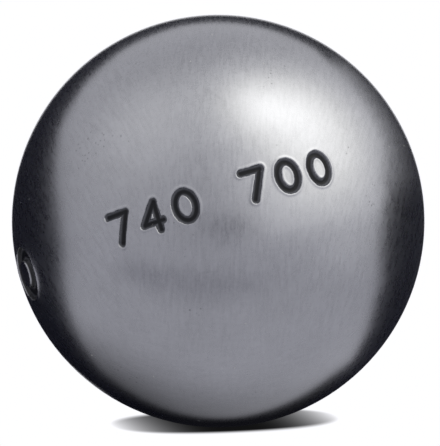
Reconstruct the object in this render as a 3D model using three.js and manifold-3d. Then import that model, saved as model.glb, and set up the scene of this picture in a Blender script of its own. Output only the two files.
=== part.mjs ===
// A petanque boule: a hollow steel ball made of two pressed half shells that are joined by a weld,
// turned to one smooth sphere, and stamped with its diameter, its weight and a set number.
// Millimetres, +Z up, origin at the ball's centre. The half shells meet on the plane y = 0,
// and the front one, which carries the marks, faces -Y.

import * as THREE from "three";
import { mergeVertices } from "three/addons/utils/BufferGeometryUtils.js";
import Module from "manifold-3d";

// The ball: its wall makes it weigh 700 g.
const BALL_DIAMETER = 74;
const SHELL_WALL = 6.15;

// The weld: each half shell's edge is bevelled, and the bead fills the groove from root to surface.
const BEVEL_ANGLE = 30; // degrees, of each shell's edge from the joint plane
const ROOT_LAND = 1.5; // square edge left at the foot of the bevel
const ROOT_GAP = 1.6; // gap between the two lands
const ROOT_BULGE = 0.8; // how far the bead's root stands into the hollow

// The marks: digits in round-bottomed strokes, filled with black paint.
const STROKE_DEPTH = 0.9;
const STROKE_END_GROWTH = 0.05; // how much wider and deeper a stroke is where it starts, turns or ends
const PAINT_RECESS = 0.3; // the paint's face lies this far below the ball's surface
const PAINT_CLEARANCE = 0.1; // between the paint and the walls of its stroke

// The size mark on the front: the diameter in tenths of a millimetre, then the weight in grams.
const SIZE_TEXT = "740 700";
const SIZE_DIGIT_HEIGHT = 6.5; // over the strokes
const SIZE_DIGIT_WIDTH = 5; // over the strokes
const SIZE_DIGIT_PITCH = 6.3;
const SIZE_STROKE_WIDTH = 1.4;
const SIZE_MARK_LATITUDE = 15; // degrees above the ball's middle
const SIZE_MARK_AZIMUTH = 0.5; // degrees round from the front, towards +X
const SIZE_MARK_SLOPE = 17; // degrees that its line of digits climbs

// The set mark on the left: one broad digit, the same on each ball of a set.
const SET_TEXT = "0";
const SET_DIGIT_HEIGHT = 9.8; // over the strokes
const SET_DIGIT_WIDTH = 9.8; // over the strokes
const SET_STROKE_WIDTH = 2.6;
const SET_MARK_LATITUDE = -12; // degrees above the ball's middle
const SET_MARK_AZIMUTH = -69.6; // degrees round from the front, towards +X

// How finely the round forms are cut into facets.
const BALL_SIDES = 72;
const OUTER_STEPS = 17;
const INNER_STEPS = 13;
const BEAD_STEPS = 4;
const BULGE_STEPS = 4;
const NOSE_STEPS = 2;
const BIT_SIDES = 16;
const STROKE_STEP = 1; // longest straight run along a stroke, mm
const CUT_OVERRUN = 0.6; // how far a cutting tool stands out of the ball, mm
const SAME_PLACE = 1e-3; // directions closer than this are one place

const wasm = await Module();
wasm.setup();

const radians = THREE.MathUtils.degToRad;
const outerRadius = BALL_DIAMETER / 2;
const innerRadius = outerRadius - SHELL_WALL;

// Where each shell's edge runs: its root on the hollow, the top of its land and its toe on the surface.
const halfGap = ROOT_GAP / 2;
const rootRadius = Math.sqrt(innerRadius ** 2 - halfGap ** 2);
const landRadius = rootRadius + ROOT_LAND;
const bevelSlope = Math.tan(radians(BEVEL_ANGLE));
const bevelStart = halfGap - bevelSlope * landRadius;
const bevelSpread = 1 + bevelSlope ** 2;
const toeRadius =
  (-bevelSlope * bevelStart + Math.sqrt(bevelSpread * outerRadius ** 2 - bevelStart ** 2)) / bevelSpread;
const toeAngle = Math.acos(toeRadius / outerRadius);

// Points on an arc about the ball's centre in the (radius, y) plane, both ends included.
function arcPoints(radius, fromAngle, toAngle, steps) {
  return Array.from({ length: steps + 1 }, (_, i) => {
    const angle = fromAngle + ((toAngle - fromAngle) * i) / steps;
    return new THREE.Vector2(radius * Math.cos(angle), radius * Math.sin(angle));
  });
}

// A closed body turned about the Y axis from a profile of (radius, y) points.
function turned(profile) {
  return new THREE.LatheGeometry(profile, BALL_SIDES);
}

// A solid from a closed geometry, and a geometry from a solid.
function solidOf(geometry) {
  const bare = geometry.clone();
  bare.deleteAttribute("normal");
  bare.deleteAttribute("uv");
  const merged = mergeVertices(bare, 1e-4);
  return new wasm.Manifold(
    new wasm.Mesh({
      numProp: 3,
      vertProperties: new Float32Array(merged.attributes.position.array),
      triVerts: new Uint32Array(merged.index.array),
    }),
  );
}

function geometryOf(solid) {
  const mesh = solid.getMesh();
  const geometry = new THREE.BufferGeometry();
  geometry.setAttribute("position", new THREE.BufferAttribute(mesh.vertProperties, 3));
  geometry.setIndex(new THREE.BufferAttribute(mesh.triVerts, 1));
  geometry.computeVertexNormals();
  return geometry;
}

// Half shell: hollow side first, then the land, the bevel and the turned outside up to its pole.
function shellGeometry(side) {
  const rootAngle = Math.asin(halfGap / innerRadius);
  const profile = [
    ...arcPoints(innerRadius, Math.PI / 2, rootAngle, INNER_STEPS),
    new THREE.Vector2(landRadius, halfGap),
    ...arcPoints(outerRadius, toeAngle, Math.PI / 2, OUTER_STEPS),
  ];
  if (side > 0) {
    return turned(profile);
  }
  return turned(profile.map((p) => new THREE.Vector2(p.x, -p.y)).reverse());
}

// Weld bead: a ring whose flanks lie on the shells' bevels, flush with the ball outside
// and with a rounded root standing into the hollow.
function beadGeometry() {
  const bulge = Array.from({ length: BULGE_STEPS - 1 }, (_, i) => {
    const angle = (Math.PI * (i + 1)) / BULGE_STEPS;
    return new THREE.Vector2(rootRadius - ROOT_BULGE * Math.sin(angle), halfGap * Math.cos(angle));
  });
  const profile = [
    new THREE.Vector2(rootRadius, halfGap),
    ...bulge,
    new THREE.Vector2(rootRadius, -halfGap),
    new THREE.Vector2(landRadius, -halfGap),
    ...arcPoints(outerRadius, -toeAngle, toeAngle, BEAD_STEPS),
    new THREE.Vector2(landRadius, halfGap),
    new THREE.Vector2(rootRadius, halfGap),
  ];
  return turned(profile);
}

// The digits that the marks use, as strokes in a box one wide and one high. A stroke is a straight line
// between two corner points, or a ring that fills the box.
const RING = "ring";
const DIGITS = {
  0: [RING],
  4: [[[0.76, 1], [0, 0.3]], [[0, 0.3], [1, 0.3]], [[0.76, 1], [0.76, 0]]],
  7: [[[0, 1], [1, 1]], [[1, 1], [0.35, 0]]],
};

// A stroke's points in mm about the middle of its digit, close enough together to follow the ball.
function strokePoints(stroke, { width, height, strokeWidth }) {
  const boxWidth = width - strokeWidth;
  const boxHeight = height - strokeWidth;
  if (stroke === RING) {
    const steps = Math.ceil((Math.PI * Math.max(boxWidth, boxHeight)) / STROKE_STEP);
    return Array.from({ length: steps + 1 }, (_, i) => {
      const angle = (2 * Math.PI * i) / steps;
      return new THREE.Vector2((boxWidth / 2) * Math.cos(angle), (boxHeight / 2) * Math.sin(angle));
    });
  }
  const [start, end] = stroke.map(
    ([x, y]) => new THREE.Vector2((x - 0.5) * boxWidth, (y - 0.5) * boxHeight),
  );
  const steps = Math.ceil(start.distanceTo(end) / STROKE_STEP);
  return Array.from({ length: steps + 1 }, (_, i) => start.clone().lerp(end, i / steps));
}

// A mark's own axes on the ball: outwards at its middle, along its line of digits, and across it.
function markAxes(mark) {
  const azimuth = radians(mark.azimuth);
  const latitude = radians(mark.latitude);
  const slope = radians(mark.slope);
  const outwards = new THREE.Vector3(
    Math.sin(azimuth) * Math.cos(latitude),
    -Math.cos(azimuth) * Math.cos(latitude),
    Math.sin(latitude),
  );
  const east = new THREE.Vector3(Math.cos(azimuth), Math.sin(azimuth), 0);
  const north = outwards.clone().cross(east);
  const along = east.clone().multiplyScalar(Math.cos(slope)).addScaledVector(north, Math.sin(slope));
  return { outwards, along, across: outwards.clone().cross(along) };
}

// The unit direction from the ball's centre to a point of a mark, given in mm over the surface.
function onBall({ outwards, along, across }, point) {
  const u = point.x / outerRadius;
  const v = point.y / outerRadius;
  return outwards
    .clone()
    .multiplyScalar(Math.cos(u) * Math.cos(v))
    .addScaledVector(along, Math.sin(u) * Math.cos(v))
    .addScaledVector(across, Math.sin(v));
}

// One side of a round-nosed bit, from its tip up past the surface: (half width, height over the surface).
function bitProfile({ width, depth }) {
  const nose = width / 2;
  const noseHeight = nose - depth;
  const rounded = Array.from({ length: NOSE_STEPS + 1 }, (_, i) => {
    const angle = ((Math.PI / 2) * i) / NOSE_STEPS;
    return new THREE.Vector2(nose * Math.sin(angle), noseHeight - nose * Math.cos(angle));
  });
  return [...rounded, new THREE.Vector2(nose, Math.max(noseHeight, 0) + CUT_OVERRUN)];
}

// The bit itself standing on the ball where a stroke starts, turns or ends.
function bitSolid(bit, direction) {
  const side = bitProfile({
    width: bit.width + 2 * STROKE_END_GROWTH,
    depth: bit.depth + STROKE_END_GROWTH,
  });
  const geometry = new THREE.LatheGeometry([...side, new THREE.Vector2(0, side.at(-1).y)], BIT_SIDES);
  const turn = new THREE.Quaternion().setFromUnitVectors(new THREE.Vector3(0, 1, 0), direction);
  geometry.applyQuaternion(turn);
  geometry.translate(...direction.clone().multiplyScalar(outerRadius).toArray());
  return solidOf(geometry);
}

// What the bit sweeps along a row of directions: rings of its outline, closed on itself or capped.
function sweptSolid(bit, directions, isLoop) {
  const half = bitProfile(bit);
  const mirrored = half.slice(1).map((p) => new THREE.Vector2(-p.x, p.y));
  const outline = [...half, ...mirrored.reverse()];
  const path = isLoop ? directions.slice(0, -1) : directions;
  const count = path.length;
  const positions = [];
  path.forEach((direction, i) => {
    const before = path[isLoop ? (i + count - 1) % count : Math.max(i - 1, 0)];
    const after = path[isLoop ? (i + 1) % count : Math.min(i + 1, count - 1)];
    const sideways = direction.clone().cross(after.clone().sub(before)).normalize();
    for (const p of outline) {
      const place = direction.clone().multiplyScalar(outerRadius + p.y).addScaledVector(sideways, p.x);
      positions.push(...place.toArray());
    }
  });
  const sides = outline.length;
  const index = [];
  for (let i = 0; i < (isLoop ? count : count - 1); i++) {
    const next = (i + 1) % count;
    for (let k = 0; k < sides; k++) {
      const l = (k + 1) % sides;
      index.push(i * sides + k, i * sides + l, next * sides + l);
      index.push(i * sides + k, next * sides + l, next * sides + k);
    }
  }
  if (!isLoop) {
    const last = (count - 1) * sides;
    for (let k = 1; k < sides - 1; k++) {
      index.push(0, k + 1, k);
      index.push(last, last + k, last + k + 1);
    }
  }
  const geometry = new THREE.BufferGeometry();
  geometry.setAttribute("position", new THREE.Float32BufferAttribute(positions, 3));
  geometry.setIndex(index);
  return solidOf(geometry);
}

// The digits of a mark, each as the solid that a bit of the given size sweeps along all its strokes.
// Strokes that meet at a corner share one standing bit there, and a space in the text has no solid.
function digitSolids(bit, mark) {
  const axes = markAxes(mark);
  return Array.from(mark.text).flatMap((digit, place) => {
    if (digit === " ") {
      return [];
    }
    const shift = new THREE.Vector2((place - (mark.text.length - 1) / 2) * mark.pitch, 0);
    const solids = [];
    const ends = [];
    for (const stroke of DIGITS[digit]) {
      const directions = strokePoints(stroke, mark).map((point) => onBall(axes, point.add(shift)));
      solids.push(sweptSolid(bit, directions, stroke === RING));
      if (stroke !== RING) {
        const corners = [directions[0], directions.at(-1)];
        ends.push(...corners.filter((corner) => ends.every((end) => end.distanceTo(corner) > SAME_PLACE)));
      }
    }
    solids.push(...ends.map((end) => bitSolid(bit, end)));
    return [solids.reduce((joined, solid) => joined.add(solid))];
  });
}

const marks = [
  {
    name: "size_mark",
    text: SIZE_TEXT,
    height: SIZE_DIGIT_HEIGHT,
    width: SIZE_DIGIT_WIDTH,
    pitch: SIZE_DIGIT_PITCH,
    strokeWidth: SIZE_STROKE_WIDTH,
    latitude: SIZE_MARK_LATITUDE,
    azimuth: SIZE_MARK_AZIMUTH,
    slope: SIZE_MARK_SLOPE,
  },
  {
    name: "set_mark",
    text: SET_TEXT,
    height: SET_DIGIT_HEIGHT,
    width: SET_DIGIT_WIDTH,
    pitch: SET_DIGIT_WIDTH,
    strokeWidth: SET_STROKE_WIDTH,
    latitude: SET_MARK_LATITUDE,
    azimuth: SET_MARK_AZIMUTH,
    slope: 0,
  },
];

// The bit that stamps a mark's strokes, and the smaller one whose sweep is their paint.
function stampingBit({ strokeWidth }) {
  return { width: strokeWidth, depth: STROKE_DEPTH };
}

function fillingBit({ strokeWidth }) {
  return { width: strokeWidth - 2 * PAINT_CLEARANCE, depth: STROKE_DEPTH - PAINT_CLEARANCE };
}

const paintRadius = outerRadius - PAINT_RECESS;
const paintLevel = solidOf(turned(arcPoints(paintRadius, -Math.PI / 2, Math.PI / 2, 2 * OUTER_STEPS)));

// Finishes: satin steel, the bead's slightly darker steel, and black paint.
const satinSteel = new THREE.MeshStandardMaterial({ color: 0x96979c, metalness: 1, roughness: 0.35 });
const weldSteel = new THREE.MeshStandardMaterial({ color: 0x8c8d92, metalness: 1, roughness: 0.4 });
const blackPaint = new THREE.MeshStandardMaterial({ color: 0x1c1d20, metalness: 0, roughness: 0.55 });

const boule = new THREE.Group();

function addPiece(name, geometry, material) {
  const piece = new THREE.Mesh(geometry, material);
  piece.name = name;
  boule.add(piece);
}

// The marks are stamped after welding, so they cut whichever piece they meet.
const cuts = marks.flatMap((mark) => digitSolids(stampingBit(mark), mark));

function addSteelPiece(name, geometry, material) {
  const finished = cuts.reduce((solid, cut) => solid.subtract(cut), solidOf(geometry));
  addPiece(name, geometryOf(finished), material);
}

addSteelPiece("front_half_shell", shellGeometry(-1), satinSteel);
addSteelPiece("back_half_shell", shellGeometry(1), satinSteel);
addSteelPiece("weld_bead", beadGeometry(), weldSteel);

for (const mark of marks) {
  digitSolids(fillingBit(mark), mark).forEach((fill, i) => {
    addPiece(`${mark.name}_paint_${i + 1}`, geometryOf(fill.intersect(paintLevel)), blackPaint);
  });
}

export default boule;
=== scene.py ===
import math

import bmesh
import bpy
import numpy as np
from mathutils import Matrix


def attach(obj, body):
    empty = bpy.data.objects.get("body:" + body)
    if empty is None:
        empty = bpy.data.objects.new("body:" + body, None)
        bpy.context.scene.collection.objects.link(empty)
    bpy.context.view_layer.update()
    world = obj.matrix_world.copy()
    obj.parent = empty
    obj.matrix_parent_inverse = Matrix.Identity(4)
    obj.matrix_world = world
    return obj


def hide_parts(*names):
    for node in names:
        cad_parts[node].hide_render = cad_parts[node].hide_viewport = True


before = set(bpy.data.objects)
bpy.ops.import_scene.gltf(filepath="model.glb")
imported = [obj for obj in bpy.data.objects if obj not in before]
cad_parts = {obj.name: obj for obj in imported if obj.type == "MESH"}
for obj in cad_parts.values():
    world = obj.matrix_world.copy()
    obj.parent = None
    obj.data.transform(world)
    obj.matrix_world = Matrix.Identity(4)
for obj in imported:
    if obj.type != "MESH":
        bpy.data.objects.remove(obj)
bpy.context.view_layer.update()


# Front half shell: the pressed and turned steel cup that carries the marks and faces the player.
# Its edge has a square land and a bevel for the weld, its outside is brushed, and the digits are
# pressed into it with round-nosed stamps that push up a low lip.
ball_radius = 0.037
shell_wall = 0.00615
root_land = 0.0015
half_gap = 0.0008
bevel_slope = math.tan(math.radians(30))

hollow_radius = ball_radius - shell_wall
root_radius = math.sqrt(hollow_radius ** 2 - half_gap ** 2)
land_radius = root_radius + root_land
bevel_start = half_gap - bevel_slope * land_radius
bevel_spread = 1 + bevel_slope ** 2
toe_radius = (
    math.sqrt(bevel_spread * ball_radius ** 2 - bevel_start ** 2) - bevel_slope * bevel_start
) / bevel_spread
toe_level = math.sqrt(ball_radius ** 2 - toe_radius ** 2)

size_text = "740 700"
size_digit = (0.005, 0.0065)
size_pitch = 0.0063
size_stroke = 0.0014
set_digit = (0.0098, 0.0098)
set_stroke = 0.0026
stroke_depth = 0.0009
path_step = 0.0002
round_zero = [
    (0.5 + 0.5 * math.cos(math.radians(turn)), 0.5 + 0.5 * math.sin(math.radians(turn)))
    for turn in range(0, 361, 6)
]
digit_strokes = {
    "0": [round_zero],
    "4": [[(0.76, 1), (0, 0.3), (1, 0.3)], [(0.76, 1), (0.76, 0)]],
    "7": [[(0, 1), (1, 1), (0.35, 0)]],
}


def mark_axes(latitude, azimuth, slope):
    """A mark's own axes on the ball: outwards at its middle, along its line of digits, and across it."""
    latitude, azimuth, slope = (math.radians(angle) for angle in (latitude, azimuth, slope))
    outwards = np.array(
        [
            math.sin(azimuth) * math.cos(latitude),
            -math.cos(azimuth) * math.cos(latitude),
            math.sin(latitude),
        ]
    )
    east = np.array([math.cos(azimuth), math.sin(azimuth), 0])
    north = np.cross(outwards, east)
    along = math.cos(slope) * east + math.sin(slope) * north
    return outwards, along, np.cross(outwards, along)


def on_ball(axes, u, v):
    """Unit directions for angles u along a mark's line and v across it."""
    outwards, along, across = axes
    u = np.asarray(u, float)[..., None]
    v = np.asarray(v, float)[..., None]
    return outwards * np.cos(u) * np.cos(v) + along * np.sin(u) * np.cos(v) + across * np.sin(v)


def placed(name, content):
    """A new object with its mesh or camera, put into the scene."""
    piece = bpy.data.objects.new(name, content)
    bpy.context.scene.collection.objects.link(piece)
    return piece


def digit_path(name, digit, axes, middle, size, stroke):
    """One digit's strokes as chains of edges on the ball's surface, in short steps."""
    points, edges = [], []
    for corners in digit_strokes[digit]:
        corners = (np.array(corners) - 0.5) * (np.array(size) - stroke)
        corners = corners + (middle, 0)
        for start, end in zip(corners[:-1], corners[1:]):
            steps = max(2, math.ceil(np.linalg.norm(end - start) / path_step))
            shares = np.linspace(0, 1, steps + 1)[:, None]
            run = start + (end - start) * shares
            first = len(points)
            points.extend(ball_radius * on_ball(axes, run[:, 0] / ball_radius, run[:, 1] / ball_radius))
            edges.extend((first + i, first + i + 1) for i in range(steps))
    mesh = bpy.data.meshes.new(name)
    mesh.from_pydata([tuple(point) for point in points], edges, [])
    return placed(name, mesh)


size_axes = mark_axes(latitude=15, azimuth=0.5, slope=17)
set_axes = mark_axes(latitude=-12, azimuth=-69.6, slope=0)
middle_place = (len(size_text) - 1) / 2
size_paths = [
    digit_path(
        f"size_path_{place}", digit, size_axes, (place - middle_place) * size_pitch, size_digit, size_stroke
    )
    for place, digit in enumerate(size_text)
    if digit != " "
]
set_paths = [digit_path("set_path", "0", set_axes, 0, set_digit, set_stroke)]


def line_angles(stops):
    """Angles of a net's lines: between each stop and the next, steps about as long as the stop asks."""
    angles = []
    for (start, step), (end, _) in zip(stops[:-1], stops[1:]):
        count = max(1, round((end - start) / step))
        angles.extend(start + (end - start) * i / count for i in range(count))
    return np.radians([*angles, stops[-1][0]])


# The outside is a net of lines along and across the size mark, close together where digits are pressed in.
# A stop is an angle and the step between the lines from there on, both in degrees.
close_step = 0.18
net_u = line_angles(
    [(-180, 3), (-90, 1), (-86, 0.225), (-63, 1.5), (-35, close_step), (35, 1.5), (42, 3), (180, 0)]
)
net_v = line_angles(
    [(-89.9, 3), (-15, 1), (-11.5, 0.22), (-7, close_step), (7, 0.22), (11, 1), (15, 3), (89.9, 0)]
)
grid_u, grid_v = np.meshgrid(net_u[:-1], net_v, indexing="ij")
net_points = (ball_radius * on_ball(size_axes, grid_u, grid_v)).reshape(-1, 3)
rows, lines = len(net_u) - 1, len(net_v)
net_faces = [
    (i * lines + k, (i + 1) % rows * lines + k, (i + 1) % rows * lines + k + 1, i * lines + k + 1)
    for i in range(rows)
    for k in range(lines - 1)
]

cut_tolerance = 1e-7
shell_mesh = bpy.data.meshes.new("front_half_shell_cup")
net = bmesh.new()
net_verts = [net.verts.new(point) for point in net_points]
for face in net_faces:
    net.faces.new([net_verts[i] for i in face])
for k in (0, lines - 1):
    cap = [net_verts[i * lines + k] for i in range(rows)]
    net.faces.new(cap if k else cap[::-1])
bmesh.ops.bisect_plane(
    net,
    geom=net.verts[:] + net.edges[:] + net.faces[:],
    dist=cut_tolerance,
    plane_co=(0, -toe_level, 0),
    plane_no=(0, 1, 0),
    clear_outer=True,
)


def shell_rings(steps=10):
    """A shell's turned profile inside its toe: land corner, root and hollow, short of the pole."""
    rings = [(land_radius, half_gap), (root_radius, half_gap)]
    root_angle = math.asin(half_gap / hollow_radius)
    for i in range(1, steps):
        angle = root_angle + (math.pi / 2 - root_angle) * i / steps
        rings.append((hollow_radius * math.cos(angle), hollow_radius * math.sin(angle)))
    return rings


edge_loop = [edge for edge in net.edges if edge.is_boundary]
for edge in edge_loop:
    edge.smooth = False
for radius, level in shell_rings():
    made = bmesh.ops.extrude_edge_only(net, edges=edge_loop)["geom"]
    edge_loop = [item for item in made if isinstance(item, bmesh.types.BMEdge) and item.is_boundary]
    for vert in {vert for edge in edge_loop for vert in edge.verts}:
        reach = math.hypot(vert.co.x, vert.co.z)
        vert.co = (vert.co.x / reach * radius, -level, vert.co.z / reach * radius)
bmesh.ops.contextual_create(net, geom=edge_loop)
bmesh.ops.recalc_face_normals(net, faces=net.faces[:])
for face in net.faces:
    face.smooth = True
net.to_mesh(shell_mesh)
net.free()
front_half_shell = placed("front_shell", shell_mesh)


def reckon(tree, operation, *values):
    """A Math node whose inputs are sockets or plain numbers; gives its output socket."""
    node = tree.nodes.new("ShaderNodeMath")
    node.operation = operation
    for place, value in zip(node.inputs, values):
        if isinstance(value, (int, float)):
            place.default_value = value
        else:
            tree.links.new(value, place)
    return node.outputs[0]


def add_node(tree, kind, links=None, **settings):
    """A node of a tree with its settings made and its inputs set or linked by name or place."""
    node = tree.nodes.new(kind)
    for setting, value in settings.items():
        setattr(node, setting, value)
    for place, value in (links or {}).items():
        if isinstance(value, bpy.types.NodeSocket):
            tree.links.new(value, node.inputs[place])
        else:
            node.inputs[place].default_value = value
    return node


def stretched(tree, direction, length):
    """A direction times a length; gives the vector's socket."""
    return add_node(
        tree, "ShaderNodeVectorMath", {0: direction, "Scale": length}, operation="SCALE"
    ).outputs[0]


def shape_tree(name, inputs):
    """A geometry tree with the named inputs; gives it, its inputs' sockets and the socket of its result."""
    tree = bpy.data.node_groups.new(name, "GeometryNodeTree")
    tree.interface.new_socket("Geometry", in_out="INPUT", socket_type="NodeSocketGeometry")
    for label, kind in inputs.items():
        tree.interface.new_socket(label, in_out="INPUT", socket_type=kind)
    tree.interface.new_socket("Geometry", in_out="OUTPUT", socket_type="NodeSocketGeometry")
    given = tree.nodes.new("NodeGroupInput")
    result = tree.nodes.new("NodeGroupOutput").inputs[0]
    return tree, given.outputs, result


def noted(tree, geometry, name, value):
    """Keeps a value with each point under a name, for the materials; gives the geometry's socket."""
    note = add_node(
        tree,
        "GeometryNodeStoreNamedAttribute",
        {"Geometry": geometry, "Name": name, "Value": value},
        data_type="FLOAT",
        domain="POINT",
    )
    return note.outputs[0]


def end_shape(tree, geometry, material, result):
    """Ends a geometry tree: whatever is an instance becomes real, and the material is set."""
    whole = add_node(tree, "GeometryNodeRealizeInstances", {0: geometry})
    dressed = add_node(tree, "GeometryNodeSetMaterial", {"Geometry": whole.outputs[0], "Material": material})
    tree.links.new(dressed.outputs[0], result)


def shaped(piece, tree, values):
    """Runs a geometry tree on a piece with its inputs set, and leaves the result as its plain mesh."""
    modifier = piece.modifiers.new(tree.name, "NODES")
    modifier.node_group = tree
    for item in tree.interface.items_tree:
        if item.in_out == "INPUT" and item.name in values:
            modifier[item.identifier] = values[item.name]
    bpy.context.view_layer.update()
    evaluated = piece.evaluated_get(bpy.context.evaluated_depsgraph_get())
    mesh = bpy.data.meshes.new_from_object(evaluated)
    piece.modifiers.remove(modifier)
    piece.data = mesh
    return piece


# Stamping: a groove with a round floor and steep walls along each stroke, and a lip beyond its edge.
stamping, given, result = shape_tree(
    "stamped strokes",
    {
        "Strokes": "NodeSocketCollection",
        "Half width": "NodeSocketFloat",
        "Depth": "NodeSocketFloat",
        "Lip": "NodeSocketFloat",
        "Lip reach": "NodeSocketFloat",
        "Crest": "NodeSocketFloat",
        "Roundness": "NodeSocketFloat",
        "Waver": "NodeSocketFloat",
        "Reach name": "NodeSocketString",
        "Steel": "NodeSocketMaterial",
    },
)
floor_roundness = 2.4
wall_steepness = 0.62
waver_scale = 800
stroke_lines = add_node(stamping, "GeometryNodeCollectionInfo", {"Collection": given["Strokes"]})
stroke_edges = add_node(stamping, "GeometryNodeRealizeInstances", {0: stroke_lines.outputs[0]})
nearest = add_node(stamping, "GeometryNodeProximity", {0: stroke_edges.outputs[0]}, target_element="EDGES")
place = add_node(stamping, "GeometryNodeInputPosition").outputs[0]
uneven = add_node(stamping, "ShaderNodeTexNoise", {"Vector": place, "Scale": waver_scale, "Detail": 1})
waver = reckon(stamping, "MULTIPLY", reckon(stamping, "SUBTRACT", uneven.outputs[0], 0.5), given["Waver"])
reach = reckon(stamping, "ADD", nearest.outputs["Distance"], waver)
share = reckon(stamping, "DIVIDE", reckon(stamping, "MAXIMUM", reach, 0), given["Half width"])
share = reckon(stamping, "MINIMUM", share, 1)
inside = reckon(stamping, "SUBTRACT", 1, reckon(stamping, "POWER", share, floor_roundness))
bowl = reckon(stamping, "POWER", inside, wall_steepness)
groove = reckon(stamping, "MULTIPLY", bowl, given["Depth"])
beyond = reckon(stamping, "SUBTRACT", reach, given["Half width"])
beyond = reckon(stamping, "DIVIDE", beyond, given["Lip reach"])
from_crest = reckon(stamping, "ABSOLUTE", reckon(stamping, "SUBTRACT", beyond, given["Crest"]))
fall = reckon(stamping, "POWER", from_crest, given["Roundness"])
crest = reckon(stamping, "EXPONENT", reckon(stamping, "MULTIPLY", fall, -1))
lip = reckon(stamping, "MULTIPLY", crest, given["Lip"])
rise = reckon(stamping, "SUBTRACT", lip, groove)
outwards = add_node(stamping, "ShaderNodeVectorMath", {0: place}, operation="NORMALIZE").outputs[0]
push = stretched(stamping, outwards, rise)
pressed = add_node(stamping, "GeometryNodeSetPosition", {"Geometry": given["Geometry"], "Offset": push})
measured = noted(stamping, pressed.outputs[0], given["Reach name"], reach)
end_shape(stamping, measured, given["Steel"], result)


def brush_lines(tree, point, turn, spacing, run, seed):
    """Fine lines in parallel planes, from noise pressed flat along one axis; gives a value about 0.5."""
    laid = add_node(tree, "ShaderNodeMapping", {"Vector": point}, vector_type="TEXTURE")
    laid.inputs["Rotation"].default_value = [math.radians(angle) for angle in turn]
    laid.inputs["Scale"].default_value = (spacing, run, run)
    laid.inputs["Location"].default_value = (0.013 * seed, 0.027 * seed, 0.019 * seed)
    lines = add_node(
        tree, "ShaderNodeTexNoise", {"Vector": laid.outputs[0], "Scale": 1, "Detail": 2, "Roughness": 0.6}
    )
    return lines.outputs[0]


def blotches(tree, point, size, seed, detail=2):
    """Soft uneven patches of a given size; gives a value about 0.5."""
    laid = add_node(tree, "ShaderNodeMapping", {"Vector": point})
    laid.inputs["Location"].default_value = (0.1 * seed, 0.19 * seed, 0.07 * seed)
    noise = add_node(
        tree, "ShaderNodeTexNoise", {"Vector": laid.outputs[0], "Scale": 1 / size, "Detail": detail}
    )
    return noise.outputs[0]


def graded(tree, value, low, high, start=0.0, end=1.0):
    """A value eased from start to end while it climbs from low to high."""
    easing = add_node(
        tree,
        "ShaderNodeMapRange",
        {"Value": value, "From Min": low, "From Max": high, "To Min": start, "To Max": end},
        interpolation_type="SMOOTHSTEP",
    )
    return easing.outputs[0]


def blended(tree, share, first, second):
    """Two values mixed by a share from 0 to 1."""
    return add_node(tree, "ShaderNodeMix", {0: share, 2: first, 3: second}, data_type="FLOAT").outputs[0]


def coloured(tree, share, first, second):
    """Two colours mixed by a share from 0 to 1; each is a socket, or red, green and blue."""
    first, second = (
        colour if isinstance(colour, bpy.types.NodeSocket) else (*colour, 1) for colour in (first, second)
    )
    return add_node(tree, "ShaderNodeMix", {0: share, 6: first, 7: second}, data_type="RGBA").outputs[2]


def dots(tree, point, spacing, size):
    """Small round spots strewn at random, soft at their edges; gives 1 in a spot and 0 elsewhere."""
    full_share = 0.6
    strewn = add_node(tree, "ShaderNodeTexVoronoi", {"Vector": point, "Scale": 1 / spacing})
    return graded(tree, strewn.outputs["Distance"], full_share * size / spacing, size / spacing, 1.0, 0.0)


def attribute(tree, name):
    """The value that a mesh keeps under a name."""
    return add_node(tree, "ShaderNodeAttribute", attribute_name=name).outputs["Fac"]


def plain_material(name):
    """A new material; gives it with its tree and its surface shader."""
    material = bpy.data.materials.new(name)
    material.use_nodes = True
    tree = material.node_tree
    return material, tree, tree.nodes["Principled BSDF"]


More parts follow.
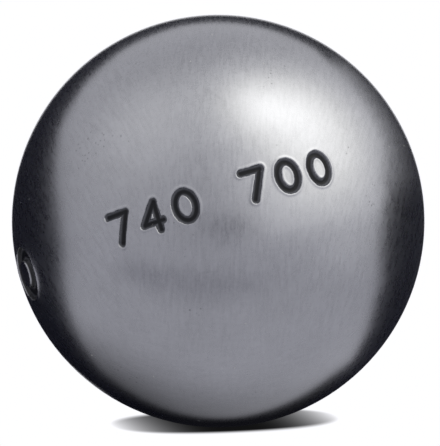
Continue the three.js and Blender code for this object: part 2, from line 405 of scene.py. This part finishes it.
def brushed_steel(name, tone, stamped):
    """Satin steel: brushed in several directions, a little uneven, with pits, hairline scratches and dust."""
    material, tree, steel = plain_material(name)
    point = add_node(tree, "ShaderNodeTexCoord").outputs["Object"]
    sideways, _, upwards = add_node(tree, "ShaderNodeSeparateXYZ", {0: point}).outputs

    # Brushing: the direction changes from left to right and towards the bottom.
    spacing, short_run, long_run = 0.0005, 0.003, 0.0035
    line_share, side_share, fine_share = 0.62, 0.14, 0.24
    upright = brush_lines(tree, point, (0, 2, 0), spacing, short_run, 3)
    leaning = brush_lines(tree, point, (0, -32, 0), spacing, short_run, 11)
    crossing = brush_lines(tree, point, (0, 14, 0), spacing, short_run, 7)
    sweeping = brush_lines(tree, point, (0, 62, 90), spacing, long_run, 23)
    round_sides = brush_lines(tree, point, (0, 0, 88), spacing, long_run, 31)
    fine = blotches(tree, point, 0.0006, 2, detail=1)
    patch = reckon(tree, "MULTIPLY_ADD", blotches(tree, point, 0.012, 5), 0.024, sideways)
    lines = blended(tree, graded(tree, patch, -0.008, 0.008), leaning, upright)
    lines = blended(tree, graded(tree, patch, 0.018, 0.036), lines, crossing)
    low = reckon(tree, "MULTIPLY_ADD", blotches(tree, point, 0.01, 13), 0.02, upwards)
    lines = blended(tree, graded(tree, low, -0.014, 0.004, 0.55, 0.0), lines, sweeping)
    grain = reckon(tree, "MULTIPLY", lines, line_share)
    grain = reckon(tree, "MULTIPLY_ADD", round_sides, side_share, grain)
    grain = reckon(tree, "MULTIPLY_ADD", fine, fine_share, grain)
    grain_swing = reckon(tree, "SUBTRACT", grain, 0.5)

    # Tone: the grain, soft clouds, and patches with pits and hairline scratches, with painted shade on the
    # walls of the size mark's grooves.
    grain_contrast, cloud_contrast = 0.55, 0.16
    pit_darkness, scratch_darkness, groove_wall_shade = 0.4, 0.07, 0.6
    cloud = blotches(tree, point, 0.009, 17, detail=4)
    shade = reckon(tree, "MULTIPLY_ADD", grain_swing, grain_contrast, 1)
    shade = reckon(tree, "MULTIPLY_ADD", reckon(tree, "SUBTRACT", cloud, 0.5), cloud_contrast, shade)
    pitted = graded(tree, blotches(tree, point, 0.011, 29), 0.58, 0.68)
    pits = reckon(tree, "MULTIPLY", dots(tree, point, 0.0009, 0.0002), pitted)
    shade = reckon(tree, "MULTIPLY", shade, reckon(tree, "MULTIPLY_ADD", pits, -pit_darkness, 1))
    ridge = reckon(tree, "SUBTRACT", blotches(tree, point, 0.022, 41, detail=1), 0.5)
    hairline = graded(tree, reckon(tree, "ABSOLUTE", ridge), 0.0006, 0.0024, 1.0, 0.0)
    scratched = graded(tree, blotches(tree, point, 0.014, 53), 0.55, 0.66)
    scratch = reckon(tree, "MULTIPLY", hairline, scratched)
    shade = reckon(tree, "MULTIPLY", shade, reckon(tree, "MULTIPLY_ADD", scratch, -scratch_darkness, 1))
    if stamped:
        # Painted shade: the steel is darker on the walls of the size mark's grooves.
        walls = graded(tree, attribute(tree, "size_reach"), 0.00062, 0.0008, groove_wall_shade, 1.0)
        shade = reckon(tree, "MULTIPLY", shade, walls)
    grey = add_node(tree, "ShaderNodeCombineColor", {0: shade, 1: shade, 2: shade})
    colour = add_node(
        tree,
        "ShaderNodeMix",
        {0: 1.0, 6: (*tone, 1), 7: grey.outputs[0]},
        data_type="RGBA",
        blend_type="MULTIPLY",
    )
    dust = dots(tree, point, 0.0045, 0.00016)
    tint = coloured(tree, dust, colour.outputs[2], (0.24, 0.24, 0.25))
    bare = reckon(tree, "SUBTRACT", 1, dust)
    if stamped:
        # Painted shade: the walls of the set mark's groove are made black, less metallic and less glossy,
        # like paint.
        set_wall_shade = graded(tree, attribute(tree, "set_reach"), 0.00118, 0.00132, 0.95, 0.0)
        tint = coloured(tree, set_wall_shade, tint, (0.006, 0.0063, 0.008))
        bare = reckon(tree, "MULTIPLY", bare, reckon(tree, "SUBTRACT", 1, set_wall_shade))
        gloss = reckon(tree, "MULTIPLY_ADD", set_wall_shade, -0.45, 0.5)
        tree.links.new(gloss, steel.inputs["Specular IOR Level"])
    tree.links.new(tint, steel.inputs["Base Color"])
    tree.links.new(bare, steel.inputs["Metallic"])

    # Roughness and relief follow the grain.
    mean_roughness, roughness_swing = 0.28, 0.2
    rough = reckon(tree, "MULTIPLY_ADD", grain_swing, roughness_swing, mean_roughness)
    tree.links.new(rough, steel.inputs["Roughness"])
    marred = reckon(tree, "MULTIPLY", reckon(tree, "MAXIMUM", pits, scratch), 0.6)
    height = reckon(tree, "SUBTRACT", grain, marred)
    bump = add_node(tree, "ShaderNodeBump", {"Strength": 0.12, "Distance": 0.00003, "Height": height})
    tree.links.new(bump.outputs[0], steel.inputs["Normal"])
    return material


shell_tone = (0.251, 0.2535, 0.28)
shell_steel = brushed_steel("shell steel", shell_tone, stamped=True)
for mark, paths, stroke, lip_form in (
    ("size", size_paths, size_stroke, {"Lip": 0.00007, "Lip reach": 0.00026, "Crest": 0.6, "Roundness": 2}),
    ("set", set_paths, set_stroke, {"Lip": 0.00045, "Lip reach": 0.00095, "Crest": 0, "Roundness": 1}),
):
    stroke_set = bpy.data.collections.new(f"{mark} strokes")
    for path in paths:
        stroke_set.objects.link(path)
    shaped(
        front_half_shell,
        stamping,
        {
            "Strokes": stroke_set,
            "Half width": stroke / 2,
            "Depth": stroke_depth,
            "Waver": 0.0002,
            "Reach name": f"{mark}_reach",
            "Steel": shell_steel,
            **lip_form,
        },
    )
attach(front_half_shell, "root")
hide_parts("front_half_shell")


# Back half shell: the same steel cup turned the other way, without marks.
# It is pressed from a round blank, bevelled for the weld and turned true with the front one.
turned_sides = 240
sharp_angle = math.radians(40)


def turned(name, profile):
    """A closed body turned about the Y axis from (radius, y) points; a radius of 0 makes a pole."""
    body = bmesh.new()
    rings = []
    turns = [2 * math.pi * k / turned_sides for k in range(turned_sides)]
    for radius, level in profile:
        if radius == 0:
            rings.append([body.verts.new((0, level, 0))])
            continue
        rings.append([body.verts.new((radius * math.cos(a), level, radius * math.sin(a))) for a in turns])
    for ring, after in zip(rings, rings[1:] + rings[:1]):
        if len(ring) == 1 and len(after) == 1:
            continue
        for k in range(turned_sides):
            m = (k + 1) % turned_sides
            corners = [ring[k % len(ring)], ring[m % len(ring)], after[m % len(after)], after[k % len(after)]]
            body.faces.new(list(dict.fromkeys(corners)))
    bmesh.ops.recalc_face_normals(body, faces=body.faces[:])
    for face in body.faces:
        face.smooth = True
    mesh = bpy.data.meshes.new(name)
    body.to_mesh(mesh)
    body.free()
    mesh.set_sharp_from_angle(angle=sharp_angle)
    return placed(name, mesh)


def outside_arc(start, end, points):
    """Points of a turned profile on the ball's outside between two angles from the seam."""
    return [
        (ball_radius * math.cos(angle), ball_radius * math.sin(angle))
        for angle in np.linspace(start, end, points)
    ]


toe_angle = math.asin(toe_level / ball_radius)
outside = outside_arc(toe_angle, math.pi / 2, points=60)[:-1]
back_half_shell = turned("back_shell", [(0, hollow_radius), *shell_rings()[::-1], *outside, (0, ball_radius)])
back_half_shell.data.materials.append(brushed_steel("back shell steel", shell_tone, stamped=False))
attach(back_half_shell, "root")
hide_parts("back_half_shell")


# Weld bead: the ring of weld metal that joins the two shells and fills the groove between their bevels.
# It is turned flush with the ball, so outside it shows at most as a faint change of tone.
bulge_height = 0.0008
weld_tone = (0.245, 0.2475, 0.274)
crown = outside_arc(-toe_angle, toe_angle, points=13)
root_bulge = [
    (root_radius - bulge_height * math.sin(angle), half_gap * math.cos(angle))
    for angle in np.linspace(0, math.pi, num=9)
]
weld_bead = turned("weld_bead_ring", [*root_bulge, (land_radius, -half_gap), *crown, (land_radius, half_gap)])
weld_bead.data.materials.append(brushed_steel("weld steel", weld_tone, stamped=False))
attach(weld_bead, "root")
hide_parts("weld_bead")


# Paint in the marks: black enamel wiped into the pressed strokes, one fill for each digit.
# It settles below the surface and dries with a hollow face that climbs a little at the walls.
drop_step = 0.00005
wall_clearance = 0.00006
filling, given, result = shape_tree(
    "paint in strokes",
    {
        "Ball radius": "NodeSocketFloat",
        "Bead radius": "NodeSocketFloat",
        "Bead depth": "NodeSocketFloat",
        "Recess": "NodeSocketFloat",
        "Hollow": "NodeSocketFloat",
        "Grain": "NodeSocketFloat",
        "Paint": "NodeSocketMaterial",
    },
)
line = add_node(filling, "GeometryNodeMeshToCurve", {"Mesh": given["Geometry"]})
drops = add_node(
    filling, "GeometryNodeCurveToPoints", {"Curve": line.outputs[0], "Length": drop_step}, mode="LENGTH"
)
place = add_node(filling, "GeometryNodeInputPosition").outputs[0]
outwards = add_node(filling, "ShaderNodeVectorMath", {0: place}, operation="NORMALIZE").outputs[0]
depth_at = reckon(filling, "SUBTRACT", given["Ball radius"], given["Bead depth"])
sunk_place = stretched(filling, outwards, depth_at)
sunk = add_node(filling, "GeometryNodeSetPosition", {"Geometry": drops.outputs[0], "Position": sunk_place})
poured = add_node(
    filling,
    "GeometryNodePointsToVolume",
    {"Points": sunk.outputs[0], "Voxel Size": given["Grain"], "Radius": given["Bead radius"]},
    resolution_mode="VOXEL_SIZE",
)
skin = add_node(filling, "GeometryNodeVolumeToMesh", {"Volume": poured.outputs[0], "Threshold": 0.1})
far_out = add_node(filling, "ShaderNodeVectorMath", {0: place}, operation="LENGTH").outputs["Value"]
above = stretched(filling, outwards, given["Ball radius"])
nearest = add_node(
    filling,
    "GeometryNodeProximity",
    {0: given["Geometry"], "Sample Position": above},
    target_element="EDGES",
)
share = reckon(filling, "DIVIDE", nearest.outputs["Distance"], given["Bead radius"])
dip = reckon(filling, "SUBTRACT", 1, reckon(filling, "POWER", reckon(filling, "MINIMUM", share, 1), 2))
level = reckon(filling, "SUBTRACT", given["Ball radius"], given["Recess"])
level = reckon(filling, "SUBTRACT", level, reckon(filling, "MULTIPLY", dip, given["Hollow"]))
wiped_place = stretched(filling, outwards, reckon(filling, "MINIMUM", far_out, level))
wiped = add_node(filling, "GeometryNodeSetPosition", {"Geometry": skin.outputs[0], "Position": wiped_place})
measured = noted(filling, wiped.outputs[0], "wall_share", share)
even = add_node(filling, "GeometryNodeSetShadeSmooth", {"Geometry": measured})
end_shape(filling, even.outputs[0], given["Paint"], result)

mark_paint, tree, paint = plain_material("mark paint")
point = add_node(tree, "ShaderNodeTexCoord").outputs["Object"]
mottle = blotches(tree, point, 0.0007, 7, detail=4)
uneven = reckon(tree, "MULTIPLY_ADD", mottle, 0.8, 0.6)
# The paint is lighter towards the edges of each stroke, unevenly.
edge_lightness = reckon(tree, "MULTIPLY", graded(tree, attribute(tree, "wall_share"), 0.3, 1.05), uneven)
tint = coloured(tree, edge_lightness, (0.004, 0.0042, 0.0065), (0.06, 0.062, 0.076))
specks = dots(tree, point, 0.0014, 0.00008)
tree.links.new(coloured(tree, specks, tint, (0.16, 0.16, 0.17)), paint.inputs["Base Color"])
tree.links.new(reckon(tree, "MULTIPLY_ADD", mottle, 0.3, 0.3), paint.inputs["Roughness"])
paint.inputs["Specular IOR Level"].default_value = 0.13
bump = add_node(tree, "ShaderNodeBump", {"Strength": 0.3, "Distance": 0.00004, "Height": mottle})
tree.links.new(bump.outputs[0], paint.inputs["Normal"])

paint_groups = (("size_mark_paint", size_paths, size_stroke), ("set_mark_paint", set_paths, set_stroke))
for group, paths, stroke in paint_groups:
    for number, path in enumerate(paths, start=1):
        fill = placed(f"{group}_fill_{number}", path.data)
        shaped(
            fill,
            filling,
            {
                "Ball radius": ball_radius,
                "Bead radius": stroke / 2 - wall_clearance,
                "Bead depth": stroke_depth - stroke / 2,
                "Recess": 0.00022,
                "Hollow": 0.0003,
                "Grain": 0.00007,
                "Paint": mark_paint,
            },
        )
        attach(fill, "root")
        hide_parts(f"{group}_{number}")
for path in size_paths + set_paths:
    bpy.data.objects.remove(path)


# Floor: a plain white table under the ball, seen and mirrored as white.
# The ball's shadow is painted on it as an oval, dark under the ball and fading out at its tips.
floor_half = 4
shadow_middle = (0.0012, 0.0033, -ball_radius)
shadow_turn = math.radians(15)
shadow_half = (0.0262, 0.0128, 1)
shadow_least = 0.006
edge_start, edge_end = 0.76, 1.04
tip_power, tip_light = 4.3, 2.5
floor_mesh = bpy.data.meshes.new("floor_sheet")
floor_corners = [
    (floor_half * x, floor_half * y, -ball_radius) for x, y in ((-1, -1), (1, -1), (1, 1), (-1, 1))
]
floor_mesh.from_pydata(floor_corners, [], [(0, 1, 2, 3)])
floor = placed("floor", floor_mesh)
white, tree, matt = plain_material("white table")
matt.inputs["Base Color"].default_value = (0.8, 0.8, 0.8, 1)
matt.inputs["Roughness"].default_value = 0.9
point = add_node(tree, "ShaderNodeTexCoord").outputs["Object"]
laid = add_node(tree, "ShaderNodeMapping", {"Vector": point}, vector_type="TEXTURE")
laid.inputs["Location"].default_value = shadow_middle
laid.inputs["Rotation"].default_value = (0, 0, shadow_turn)
laid.inputs["Scale"].default_value = shadow_half
# Painted shadow: dark within the oval, lightening towards its tips and clear beyond its edge.
across = add_node(tree, "ShaderNodeSeparateXYZ", {0: laid.outputs[0]}).outputs["X"]
far = add_node(tree, "ShaderNodeVectorMath", {0: laid.outputs[0]}, operation="LENGTH").outputs["Value"]
tips = reckon(tree, "POWER", reckon(tree, "ABSOLUTE", across), tip_power)
tips = reckon(tree, "MULTIPLY", tips, tip_light)
light = reckon(tree, "ADD", tips, graded(tree, far, edge_start, edge_end))
light = reckon(tree, "MINIMUM", reckon(tree, "ADD", light, shadow_least), 1)
seen = add_node(tree, "ShaderNodeEmission", {"Color": (1, 1, 1.035, 1), "Strength": light})
ray = add_node(tree, "ShaderNodeLightPath")
direct = reckon(tree, "MAXIMUM", ray.outputs["Is Camera Ray"], ray.outputs["Is Glossy Ray"])
direct = reckon(tree, "MAXIMUM", direct, ray.outputs["Is Transmission Ray"])
either = add_node(tree, "ShaderNodeMixShader", {0: direct, 1: matt.outputs[0], 2: seen.outputs[0]})
tree.links.new(either.outputs[0], tree.nodes["Material Output"].inputs["Surface"])
floor_mesh.materials.append(white)


# Dark card: a black studio card with a round hole, upright round the ball's middle and down to the table.
# Its upper right part thins out like gauze. Metal mirrors it as the dark rim that gives the ball its edge.
# Its outline is in millimetres from the ball's middle, by degrees round from the right.
card_outline = {
    -26: 84, -20: 90, -15: 115, -10: 146, -5: 158, 0: 136, 10: 84, 15: 95, 20: 84, 25: 69, 30: 62,
    35: 58, 40: 56, 45: 53.5, 50: 49, 60: 42.5, 80: 41.4, 100: 41.4, 120: 43.6, 135: 48, 150: 57, 160: 77,
    170: 110, 180: 200, 190: 240,
}
card_clearness = {5: 0, 10: 0.08, 15: 0.75, 20: 0.92, 25: 1, 50: 1, 58: 0}
card_turns = range(-84, 265, 3)
card_hole = 37.4
card_foot = 36.9
bend_level = 18
upper_lean, right_lean, left_lean = 0.14, 0.14, 0.45
millimetres_per_metre = 1000


def only_mirrored(piece):
    """Leaves a piece of the studio to be seen in reflections alone."""
    piece.visible_camera = False
    piece.visible_shadow = False
    piece.visible_diffuse = False


card = bmesh.new()
clear_layer = card.verts.layers.float.new("clear")
hole_edge, card_edge = [], []
for turn in card_turns:
    across, up = math.cos(math.radians(turn)), math.sin(math.radians(turn))
    to_foot = card_foot / -up if up < 0 else math.inf
    far = min(np.interp(turn, list(card_outline), list(card_outline.values())), to_foot)
    if not min(card_outline) <= turn <= max(card_outline):
        far = to_foot
    clearness = np.interp(turn, list(card_clearness), list(card_clearness.values()))
    foot_lean = right_lean if across > 0 else left_lean
    for reach, clear, edge in ((card_hole, 0.0, hole_edge), (far, clearness, card_edge)):
        back = upper_lean * max(0, reach * up - bend_level) + foot_lean * min(0, reach * up + bend_level)
        corner = card.verts.new(np.array((reach * across, back, reach * up)) / millimetres_per_metre)
        corner[clear_layer] = clear
        edge.append(corner)
for k in range(len(hole_edge) - 1):
    card.faces.new((hole_edge[k], hole_edge[k + 1], card_edge[k + 1], card_edge[k]))
card_mesh = bpy.data.meshes.new("dark_card")
card.to_mesh(card_mesh)
card.free()
dark_card = placed("dark_card", card_mesh)
black, tree, matt = plain_material("black card")
matt.inputs["Base Color"].default_value = (0.011, 0.0115, 0.021, 1)
matt.inputs["Roughness"].default_value = 1
matt.inputs["Specular IOR Level"].default_value = 0
gauze = add_node(tree, "ShaderNodeBsdfTransparent")
thinned = add_node(
    tree, "ShaderNodeMixShader", {0: attribute(tree, "clear"), 1: matt.outputs[0], 2: gauze.outputs[0]}
)
tree.links.new(thinned.outputs[0], tree.nodes["Material Output"].inputs["Surface"])
card_mesh.materials.append(black)
only_mirrored(dark_card)


# Soft shades: what else the metal mirrors. They are the dim table under the ball and in front of it,
# the lit table on the right and the dark front of the camera.
def soft_shade(name, middle, across, along, core, cover, tone=(0.0095, 0.0097, 0.0125)):
    """A flat oval that only the metal sees: covering within its core share, and clear at its edge."""
    middle, across, along = (np.array(part) for part in (middle, across, along))
    corners = [
        middle - across - along,
        middle + across - along,
        middle + across + along,
        middle - across + along,
    ]
    mesh = bpy.data.meshes.new(name)
    mesh.from_pydata([tuple(corner) for corner in corners], [], [(0, 1, 2, 3)])
    mesh.uv_layers.new(name="oval")
    material, tree, _ = plain_material(name)
    laid = add_node(tree, "ShaderNodeTexCoord").outputs["UV"]
    from_middle = add_node(tree, "ShaderNodeVectorMath", {0: laid, 1: (0.5, 0.5, 0)}, operation="DISTANCE")
    far = reckon(tree, "MULTIPLY", from_middle.outputs["Value"], 2)
    clear = add_node(tree, "ShaderNodeBsdfTransparent")
    shown = add_node(tree, "ShaderNodeEmission", {"Color": (*tone, 1)})
    fading = graded(tree, far, core, 1.0, cover, 0.0)
    faded = add_node(tree, "ShaderNodeMixShader", {0: fading, 1: clear.outputs[0], 2: shown.outputs[0]})
    tree.links.new(faded.outputs[0], tree.nodes["Material Output"].inputs["Surface"])
    mesh.materials.append(material)
    shade = placed(name, mesh)
    only_mirrored(shade)


table_top = 0.0002 - ball_radius
layer = 0.0001
dim_blue = (0.03, 0.03, 0.1)
soft_shade("dim_contact", (-0.001, 0, table_top), (0.039, 0, 0), (0, 0.0142, 0), core=0.85, cover=1.0)
soft_shade(
    "dim_round", (-0.014, 0, table_top + layer), (0.052, 0, 0), (0, 0.036, 0),
    core=0.2, cover=0.86, tone=(0.009, 0.0092, 0.013),
)
soft_shade(
    "dim_front", (-0.02, -0.1, table_top), (0.115, 0, 0), (0, 0.036, 0),
    core=0.1, cover=0.37, tone=dim_blue,
)
soft_shade(
    "dim_left", (-0.08, -0.094, table_top + layer), (0.05, 0, 0), (0, 0.027, 0),
    core=0.0, cover=0.5, tone=dim_blue,
)
soft_shade(
    "lit_table", (0.42, -0.06, table_top - layer), (0.36, 0, 0), (0, 0.2, 0),
    core=0.5, cover=1, tone=(1.3, 1.3, 1.3),
)
soft_shade(
    "camera_front", (0.09, -0.96, 0.08), (0.42, 0, 0), (0, 0, 0.17),
    core=0.0, cover=0.8, tone=(0.02, 0.02, 0.07),
)


# Light: a white room with soft lights, each given by its direction, its strength and its narrowness.
# The room is nowhere darker than white, and it is a little warmer where a light glows.
soft_lights = {
    "wide box at the upper right": ((0.69, -0.16, 0.706), 2.9, 6.2),
    "small box overhead": ((0.32, -0.2, 0.926), 2.0, 30),
    "second small box, further right": ((0.6, 0.04, 0.8), 0.45, 32),
    "weak box at the upper left": ((-0.518, -0.204, 0.831), 0.86, 5.3),
    "low light in front on the right": ((0.5, -0.82, 0.28), 0.55, 8),
    "low light on the right": ((0.92, -0.38, 0.1), 0.14, 9),
    "light behind on the right": ((0.74, 0.5, 0.45), 0.32, 16),
    "level light on the right": ((0.99, 0.05, 0.02), 0.2, 20),
}
room_level, room_fall = 0.93, -0.3
warmth_share = 0.55
cool_white, warm_white = (1, 1, 1.03), (1, 0.993, 0.91)
world = bpy.data.worlds.new("white room")
bpy.context.scene.world = world
world.use_nodes = True
tree = world.node_tree
sky = tree.nodes["Background"]
towards = add_node(tree, "ShaderNodeTexCoord").outputs["Generated"]
height = add_node(tree, "ShaderNodeSeparateXYZ", {0: towards}).outputs["Z"]
glow = 0
for direction, strength, narrowness in soft_lights.values():
    facing = add_node(tree, "ShaderNodeVectorMath", {0: towards, 1: direction}, operation="DOT_PRODUCT")
    fade = reckon(tree, "MULTIPLY", reckon(tree, "SUBTRACT", facing.outputs["Value"], 1), narrowness)
    glow = reckon(tree, "MULTIPLY_ADD", reckon(tree, "EXPONENT", fade), strength, glow)
room = reckon(tree, "ADD", reckon(tree, "MULTIPLY_ADD", height, room_fall, room_level), glow)
room = reckon(tree, "MAXIMUM", room, 1)
warmth = reckon(tree, "MULTIPLY", glow, warmth_share)
tree.links.new(room, sky.inputs["Strength"])
tree.links.new(coloured(tree, warmth, cool_white, warm_white), sky.inputs["Color"])


# Camera: a metre in front of the ball and eight degrees above it.
# Its long lens fills the picture with the ball, and its small shift puts the ball where it belongs.
camera_rise = 8
camera = bpy.data.cameras.new("camera")
camera.sensor_width = 36
camera.lens = 449.85
camera.shift_x = 0.00404
camera.shift_y = -0.00448
camera.clip_end = 20
tripod = placed("camera", camera)
tripod.location = (0, -math.cos(math.radians(camera_rise)), math.sin(math.radians(camera_rise)))
tripod.rotation_euler = (math.radians(90 - camera_rise), 0, 0)
bpy.context.scene.camera = tripod
bpy.context.scene.view_settings.view_transform = "Standard"
